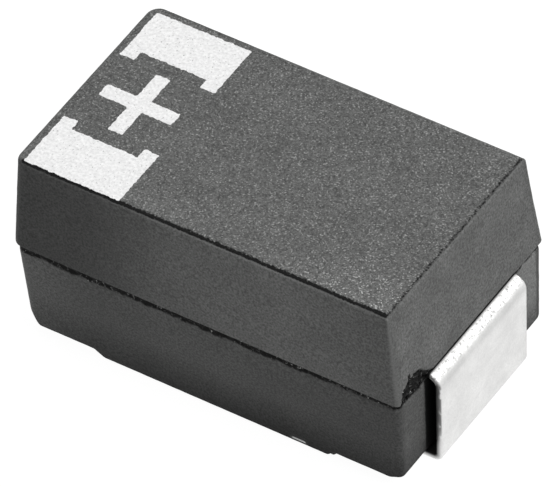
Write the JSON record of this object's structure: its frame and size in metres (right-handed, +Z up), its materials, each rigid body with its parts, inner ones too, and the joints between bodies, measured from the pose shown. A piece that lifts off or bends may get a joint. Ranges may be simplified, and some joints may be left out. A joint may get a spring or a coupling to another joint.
{
  "type": "tantalum capacitor",
  "caption": "Molded surface-mount tantalum capacitor: a drafted epoxy block with flat tinned terminals folded under both ends and a polarity mark on top.",
  "frame": {"origin": "on the board plane, which is the underside of both feet, at the middle of the footprint", "axes": "+X along the length to the cathode end, with the polarity mark at the -X (anode) end; +Y across the width; +Z up from the board"},
  "size_m": [0.0074, 0.004, 0.0036],
  "materials": {
    "epoxy": "matte",
    "tinned_strip": "satin",
    "sintered_tantalum": "matte",
    "tantalum_wire": "satin",
    "washer_plastic": "matte",
    "manganese_dioxide": "matte",
    "graphite": "satin",
    "silver_paint": "satin",
    "silver_paste": "matte",
    "white_ink": "matte"
  },
  "bodies": {
    "root": {"molded_case": "epoxy", "anode_terminal": "tinned_strip", "cathode_terminal": "tinned_strip", "tantalum_pellet": "sintered_tantalum", "riser_wire": "tantalum_wire", "wire_washer": "washer_plastic", "manganese_dioxide_coat": "manganese_dioxide", "graphite_coat": "graphite", "silver_coat": "silver_paint", "silver_adhesive": "silver_paste", "polarity_mark": "white_ink"}
  },
  "joints": []
}
